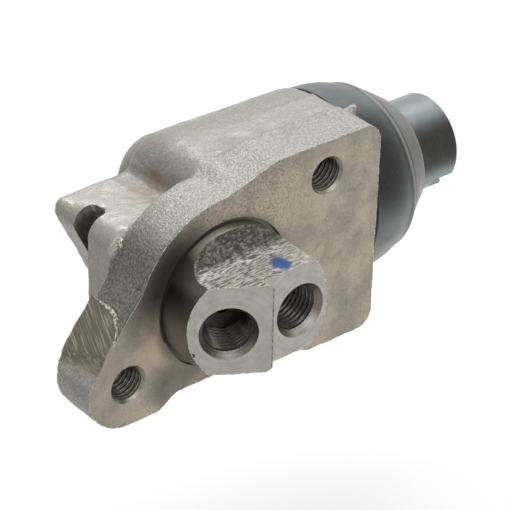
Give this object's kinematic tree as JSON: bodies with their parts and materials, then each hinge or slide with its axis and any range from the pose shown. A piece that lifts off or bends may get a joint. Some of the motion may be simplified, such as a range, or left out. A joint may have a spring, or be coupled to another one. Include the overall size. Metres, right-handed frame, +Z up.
{
  "type": "drum brake slave cylinder",
  "caption": "Flange-mounted drum brake slave cylinder: iron casting with twin pipe ports and forked abutment, sliding piston, domed rubber boot.",
  "frame": {"origin": "centre of the spigot on the machined mounting face", "axes": "+X along the bore towards its open end, -Y out of the mounting face, +Z up"},
  "size_m": [0.1015, 0.0552, 0.0458],
  "materials": {
    "casting": "rough cast, machined faces",
    "blackened_steel": "black oxide, turned",
    "seal_rubber": "smooth",
    "plated_steel": "zinc plated",
    "spring_steel": "bright wire",
    "boot_rubber": "satin moulded"
  },
  "bodies": {
    "cylinder": {"cylinder_body": "casting", "return_spring": "spring_steel", "dust_boot": "boot_rubber"},
    "seal": {"piston_cup": "seal_rubber", "cup_filler": "plated_steel"},
    "piston": {"piston": "blackened_steel"}
  },
  "joints": [
    {"name": "piston_travel", "type": "slide", "parent": "cylinder", "child": "seal", "axis": [1, 0, 0], "range_m": [-0.0045, 0.009], "deforming": ["return_spring", "dust_boot"]},
    {"name": "piston_turn", "type": "hinge", "parent": "seal", "child": "piston", "pos_m": [0.0182, 0.0196, 0.0018], "axis": [1, 0, 0], "continuous": true}
  ]
}
